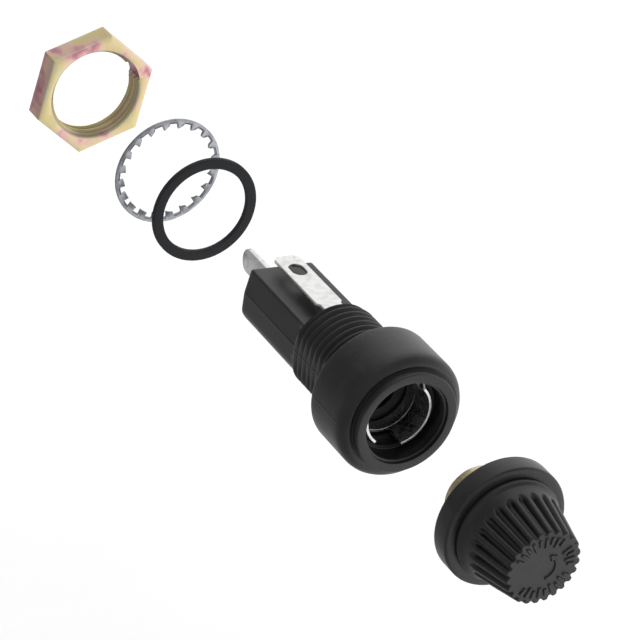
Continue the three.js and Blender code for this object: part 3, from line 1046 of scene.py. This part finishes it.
def end_terminal():
    rear, front, _ = span("end_terminal")
    shape = rounded([
        (front - 0.2, -BLADE_HALF, 0.0), (front - 0.2, BLADE_HALF, 0.0),
        (rear, BLADE_HALF, BLADE_ROUND), (rear, -BLADE_HALF, BLADE_ROUND)], closed=True)
    shape = densified(shape, 1.2, True)
    blade = slab("end_terminal_blade", shape, BLADE_LEFT, BLADE_RIGHT, upright, 0.16)
    foot_rear = front - FOOT_THICK
    foot = turned("foot", [
        (0.0, foot_rear, 0), (FOOT_RADIUS, foot_rear, 0.1), (FOOT_RADIUS, front, 0.1),
        (0.0, front, 0)], 72, closed=False)
    combine(blade, foot, "UNION")
    return dress(blade, "housing_body", "tinned_brass", "end_terminal")


end_terminal()

# %% [markdown]
# ## Rear contact
#
# Inside the stem a brass cup takes the end of the fuse. A coil spring pushes it forward, and sits
# in a second, shallow cup on the end terminal's foot. The wire is swept along a helix whose first
# and last turns lie close together, as on a real compression spring.

# %% Seat, plunger and spring
CUP_SHEET = 0.35
WIRE = 0.21
COILS = 8


def spring_seat():
    rear, front, reach = span("spring_seat")
    seat = turned("spring_seat_cup", [
        (0.8, rear, 0.08), (reach, rear, 0.45), (reach, front, 0.12), (reach - CUP_SHEET, front, 0.12),
        (reach - CUP_SHEET, rear + 0.4, 0.2), (0.8, rear + 0.4, 0.08)], 96)
    return dress(seat, "housing_body", "spring_brass", "spring_seat")


def contact_plunger():
    rear, front, reach = span("contact_plunger")
    cup = turned("contact_plunger_cup", [
        (0.0, front, 0), (reach - CUP_SHEET, front - 0.25, 0.4), (reach, front - 0.9, 0.5),
        (reach, rear, 0.12), (reach - 0.4, rear, 0.12), (reach - 0.4, front - 1.1, 0.4),
        (0.0, front - 0.8, 0)], 96, closed=False)
    return dress(cup, "plunger_body", "spring_brass", "contact_plunger")


def contact_spring():
    rear, front, reach = span("contact_spring")
    inset = WIRE + 0.02
    turns = np.linspace(0, COILS, COILS * 36 + 1)
    start, end = rear + inset, front - inset
    s = np.interp(turns, [0, 1, COILS - 1, COILS], [start, start + 0.45, end - 0.45, end])
    round_wire = full_turn(12)
    circle = WIRE * np.stack([np.cos(round_wire), np.sin(round_wire)], axis=1)
    sections = []
    for turn, height in zip(turns * TAU, s):
        sections.append(stood_up(turn, circle + (reach - inset, height)))
    spring = swept("contact_spring_coil", sections, crease=60)
    dress(spring, "housing_body", "spring_steel", "contact_spring")
    press = next(joint for joint in frame["joints"] if joint["name"] == "contact_press")
    travel = press["range_m"][1] / MM
    kept = (front - rear - travel - 0.1) / (front - rear)
    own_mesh(spring)
    return spring


spring_seat()
contact_plunger()
contact_spring()

# %% [markdown]
# ## Cap
#
# The cap is of the same black resin: a smooth flange, a groove with a thin ring in it, a short
# smooth band and a tapered grip with 24 flutes. The valleys are wide and the ridges between them
# narrow and rounded. Towards the end the valleys get shallower, and at the flange each runs out in a
# rounded scoop. The grip is again one skin, whose radius depends on the direction. Its flat end has
# raised marks in the mesh itself: groups of short bars and a bent arrow for the way to turn.

# %% Flutes
FLUTES = 24
FLUTE_DEPTH = 0.98
SHALLOWER = 0.42
SCOOP = 1.1
CONE_BASE = 8.12
CONE_END = 6.36


def flute_dip(angles):
    """0 on the ridges and 1 at the bottom of the valleys."""
    return 1 - smooth(0.30, 1.0, np.abs(np.cos(FLUTES / 2 * angles)))


def grip_radius(angles, s, start, end):
    share = (s - start) / (end - start)
    cone = CONE_BASE + (CONE_END - CONE_BASE) * share
    run_out = max(0.0, (start + SCOOP - s) / SCOOP)
    dip = FLUTE_DEPTH * (1 - SHALLOWER * share) * flute_dip(angles) - 1.3 * run_out ** 2
    return cone - np.maximum(dip, 0)


# %% Raised marks on the end
MARK_HEIGHT = 0.24
MARK_EDGE = 0.09
BAR_GROUPS = ((58, 158, 9), (-128, -24, 9), (0, 34, 4))
BAR_STARTS = (4.0, 3.5)
BAR_END = 5.3
BAR_HALF = 0.19
ARROW_RADIUS = 2.1


def bar_field(x, z):
    """Short raised bars that point at the axis, in groups (first angle, last angle, count)."""
    field = np.zeros_like(x)
    for first, last, count in BAR_GROUPS:
        for i, angle in enumerate(np.radians(np.linspace(first, last, count))):
            along = x * math.cos(angle) + z * math.sin(angle)
            beside = np.abs(z * math.cos(angle) - x * math.sin(angle))
            start = BAR_STARTS[i % 2]
            bar = smooth(start, start + MARK_EDGE, along)
            bar = bar * (1 - smooth(BAR_END, BAR_END + MARK_EDGE, along))
            bar = bar * (1 - smooth(BAR_HALF, BAR_HALF + MARK_EDGE, beside))
            field = np.maximum(field, bar)
    return field


def arrow_field(x, z):
    """A bent arrow round the middle of the end."""
    off_line = np.abs(np.hypot(x, z) - ARROW_RADIUS)
    degrees = np.degrees(np.arctan2(z, x))
    shaft = 1 - smooth(0.16, 0.16 + MARK_EDGE, off_line)
    shaft = shaft * smooth(-75, -72, degrees) * (1 - smooth(42, 45, degrees))
    half = 0.62 * np.clip((72 - degrees) / 30, 0, 1)
    head = 1 - smooth(half, half + MARK_EDGE, off_line)
    head = head * smooth(41, 43, degrees) * (1 - smooth(68, 71, degrees))
    return np.maximum(shaft, head)


# %% The cap's skin
END_ROUND = 0.22


def knob_rings():
    rear, end, _ = span("knob")
    edge = rear + 3.6
    ring_rear = rear + 3.9
    ring_front = rear + 4.6
    flute_start = rear + 6.5
    angles = full_turn(FLUTES * 16)
    collar = rounded([
        (0.0, rear + 5.7, 0), (2.2, rear + 5.7, 0.1), (2.2, rear + 4.1, 0.1), (5.45, rear + 4.1, 0.2),
        (5.45, rear, 0.15), (6.6, rear, 0.1), (6.75, rear + 0.45, 0.1), (9.3, rear + 0.45, 0.1),
        (9.45, rear, 0.1), (10.43, rear, 0.3), (10.43, edge - 0.12, 0.5), (9.55, edge + 0.02, 0.25),
        (8.5, edge + 0.05, 0.12), (8.5, ring_rear + 0.04, 0.08), (8.88, ring_rear + 0.3, 0.07),
        (8.76, ring_front, 0.16), (8.36, ring_front + 0.36, 0.18), (CONE_BASE, flute_start - 0.1, 0)])
    rings = [ring(radius, s, angles) for radius, s in densified(collar, 1.5)]
    face = end - MARK_HEIGHT - 0.02
    for s in np.linspace(flute_start + 0.05, face - END_ROUND, 46):
        rings.append(ring(grip_radius(angles, s, flute_start, end), s, angles))
    last = grip_radius(angles, face, flute_start, end)
    for lean in np.radians([30, 60, 90]):
        inset = END_ROUND * (1 - math.cos(lean))
        rings.append(ring(last - inset, face - END_ROUND * (1 - math.sin(lean)), angles))
    for share in np.linspace(0.985, 0, 56):
        radius = (last - END_ROUND) * share
        x, z = radius * np.cos(angles), radius * np.sin(angles)
        marks = np.maximum(bar_field(x, z), arrow_field(x, z)) if share > 0 else 0.0
        rings.append(ring(radius, face + MARK_HEIGHT * marks, angles))
    return rings


dress(skin("knob_moulding", knob_rings(), crease=40), "cap_body", "black_phenolic", "knob")

# %% [markdown]
# ## Inside the cap
#
# A brass shell with two lugs turns in the sleeve of the housing. Inside it a clip with four springy
# fingers and flared lips holds one end of the fuse, and a hollow rivet ties both to the cap.

# %% Shell, lugs, clip and rivet
LUG_ANGLE = 78
LUG_RADIUS = 0.65
LUG_INNER = 4.3
LUG_TIP = 5.9
SHELL_INNER = 4.7
CLIP_WALL = (3.25, 3.6)
RIVET_HOLE = 1.35
BASE_SHEET = 0.5
SHANK = 1.2
RIVET_FLARE = 1.88
RIVET_LIP = 0.38


def lug_place(node):
    low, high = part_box(node)
    return -(low.y + high.y) / 2 / MM


def knob_ferrule():
    rear, front, reach = span("knob_ferrule")
    base = front - BASE_SHEET
    shell = turned("knob_ferrule_shell", [
        (reach - 0.02, rear, 0.15), (reach - 0.02, front, 0.5), (1.5, front, 0.1), (1.5, base, 0.1),
        (SHELL_INNER, base, 0.3), (SHELL_INNER, rear, 0.15)], 144)
    s = lug_place("bayonet_lug_top")
    for turn in (0, 180):
        combine(shell, lug("lug_hole", LUG_ANGLE + turn, s, LUG_RADIUS + 0.12, 4.0, 6.0, 0.0))
    return dress(shell, "cap_body", "spring_brass", "knob_ferrule")


def lug(name, degrees, s, radius, inner, outer, dome):
    """A pin across the shell's wall, pointing away from the axis, with a domed tip."""
    angle = math.radians(degrees)
    away = np.array([math.cos(angle), 0, math.sin(angle)])
    aside = np.array([-math.sin(angle), 0, math.cos(angle)])
    corners = [(0.0, inner, 0), (radius, inner, 0.08), (radius, outer - dome, dome), (0.0, outer, 0)]
    circle = full_turn(32)
    rings = []
    for width, reach in rounded(corners):
        around = np.outer(np.cos(circle), aside) + np.outer(np.sin(circle), [0, -1, 0])
        rings.append(around * width + away * reach - np.array([0, s, 0]))
    return skin(name, rings)


def bayonet_lugs():
    for node, turn in (("bayonet_lug_top", 0), ("bayonet_lug_bottom", 180)):
        s = lug_place(node)
        pin = lug(node + "_pin", LUG_ANGLE + turn, s, LUG_RADIUS - 0.01, LUG_INNER, LUG_TIP, 0.2)
        dress(pin, "cap_body", "spring_brass", node)


def fuse_clip():
    rear, front, reach = span("fuse_clip")
    inner, outer = CLIP_WALL
    base = front - BASE_SHEET
    clip = turned("fuse_clip_fingers", [
        (outer, rear + 1.1, 0.5), (outer, front, 0.5), (RIVET_HOLE, front, 0.1), (RIVET_HOLE, base, 0.1),
        (inner, base, 0.3), (inner, rear + 1.1, 0.5), (reach - 0.33, rear + 0.02, 0.1),
        (reach - 0.03, rear + 0.02, 0.1)], 144)
    for across, up in ((0.4, reach + 1), (reach + 1, 0.4)):
        slot = slab("finger_slot", oblong(across, up, (0, 0), 0.1), rear - 1, front - 3.5, across_axis)
        combine(clip, slot)
    return dress(clip, "clip_body", "spring_brass", "fuse_clip")


def clip_eyelet():
    rear, front, reach = span("clip_eyelet")
    head = reach - 0.02
    eyelet = turned("clip_eyelet_rivet", [
        (SHANK - 0.4, rear, 0.12), (head, rear, 0.16), (head, rear + RIVET_LIP, 0.16),
        (SHANK, rear + RIVET_LIP, 0.1), (SHANK, front - RIVET_LIP, 0.1),
        (RIVET_FLARE, front - RIVET_LIP, 0.15), (RIVET_FLARE, front, 0.15),
        (SHANK - 0.4, front, 0.12)], 72)
    return dress(eyelet, "clip_body", "spring_brass", "clip_eyelet")


knob_ferrule()
bayonet_lugs()
fuse_clip()
clip_eyelet()

# %% [markdown]
# ## Gasket
#
# A flat ring punched from sheet. A punch presses the rubber down before it cuts, so the front edge
# is rounder than the rear one.

# %% The gasket
GASKET_HOLE = 8.03


def gasket():
    rear, front, reach = span("gasket")
    rim = reach - 0.02
    body = turned("gasket_ring", [
        (GASKET_HOLE, rear + 0.02, 0.06), (rim, rear + 0.02, 0.08), (rim, front - 0.01, 0.22),
        (GASKET_HOLE, front - 0.01, 0.18)], 200)
    return dress(body, "gasket_body", "black_rubber", "gasket")


gasket()

# %% [markdown]
# ## Lock washer
#
# A thin steel ring with twenty teeth pointing inwards, each twisted a little so that its corners
# bite. The front corner rises less than the rear one, which leaves room for the gasket when the
# washer is pushed up against it. The ring is swept round the axis as a flat section whose inner end
# moves in and out, and tips across each tooth.

# %% The lock washer
TEETH = 20
TOOTH_ROOT = 9.36
TOOTH_TIP = 8.50
TWIST_BACK = 0.50
TWIST_FRONT = 0.30


def washer_section(share, angle, rear, front, reach):
    """The washer's section at one share of the way from tooth to tooth."""
    middle = (rear + front) / 2
    half = (front - rear) / 2 - 0.03
    on_tooth = smooth(0.30, 0.36, share) * (1 - smooth(0.74, 0.80, share))
    tip = TOOTH_ROOT + (TOOTH_TIP - TOOTH_ROOT) * on_tooth
    twist = np.clip((share - 0.55) / 0.20, -1, 1)
    tilt = (TWIST_FRONT if twist > 0 else TWIST_BACK) * twist * on_tooth
    shaded_side = half * (1 - 0.12 * on_tooth)
    points = []
    for radius, side in (
        (reach - 0.12, -1), (reach - 0.02, -0.72), (reach - 0.02, 0.72), (reach - 0.12, 1),
        (TOOTH_ROOT + 0.15, 1), (tip + 0.28, 1), (tip + 0.08, 1), (tip, 0.7), (tip, -0.7),
        (tip + 0.08, -1), (tip + 0.28, -1), (TOOTH_ROOT + 0.15, -1),
    ):
        inward = np.clip((TOOTH_ROOT + 0.15 - radius) / (TOOTH_ROOT + 0.15 - TOOTH_TIP), 0, 1)
        points.append((radius, middle + side * (shaded_side if inward else half) + tilt * inward))
    return stood_up(angle, np.array(points))


def lock_washer():
    rear, front, reach = span("lock_washer")
    shares = [0.0, 0.12, 0.24, 0.30, 0.32, 0.34, 0.36, 0.42, 0.48, 0.55, 0.62, 0.68, 0.74]
    shares += [0.76, 0.78, 0.80, 0.90]
    sections = []
    for tooth in range(TEETH):
        for share in shares:
            angle = (tooth + share) * TAU / TEETH
            sections.append(washer_section(share, angle, rear, front, reach))
    washer = skin("lock_washer_ring", sections, closed=True, crease=38)
    return dress(washer, "washer_body", "grey_steel", "lock_washer")


lock_washer()

# %% [markdown]
# ## Hexagonal nut
#
# The nut is turned from hexagon bar: six flats with crisp edges, plain faces, a small chamfer at
# each end of the hole, and a thread with the barrel's own pitch. One short stretch of the hole has
# no thread.

# %% The nut
ACROSS_FLATS = 20.6
NUT_TURN = math.radians(20.6)
NUT_EDGE = 0.24


def hexagon(angles, across):
    """How far a hexagon's side is along each direction."""
    from_corner = np.mod(angles - NUT_TURN, TAU / 6)
    return across / 2 / np.cos(from_corner - TAU / 12)


def hex_nut():
    rear, front, _ = span("hex_nut")
    angles = full_turn(360, NUT_TURN)
    face_start = NUT_HOLE + NUT_THREAD + 0.12
    edges = ((0.01, NUT_EDGE), (NUT_EDGE * 0.3, NUT_EDGE * 0.3), (NUT_EDGE, 0.0))
    body = hexagon(angles, ACROSS_FLATS - 0.04)
    degrees = np.degrees(np.mod(angles, TAU))
    plain = smooth(14, 16, degrees) * (1 - smooth(40, 42, degrees))
    rings = []
    for depth, inset in reversed(edges):
        rings.append(ring(body - inset, front - depth, angles))
    for share in (0.5, 0.0):
        rings.append(ring(face_start + (body - 9.4) * share, front - 0.01, angles))
    for s in np.arange(front - 0.08, rear + 0.05, -0.1):
        depth_in = min(front - s, s - rear)
        chamfer = NUT_HOLE + max(0, NUT_THREAD + 0.06 - depth_in * 1.2)
        cut = NUT_HOLE + NUT_THREAD * (1 - thread_wave(angles, s))
        cut = cut + (NUT_HOLE + NUT_THREAD + 0.1 - cut) * plain
        rings.append(ring(np.maximum(cut, chamfer), s, angles))
    for share in (0.0, 0.5):
        rings.append(ring(face_start + (body - 9.4) * share, rear + 0.01, angles))
    for depth, inset in edges:
        rings.append(ring(body - inset, rear + depth, angles))
    nut = skin("hex_nut_body", rings, closed=True, crease=28)
    return dress(nut, "nut_body", "yellow_zinc", "hex_nut")


hex_nut()
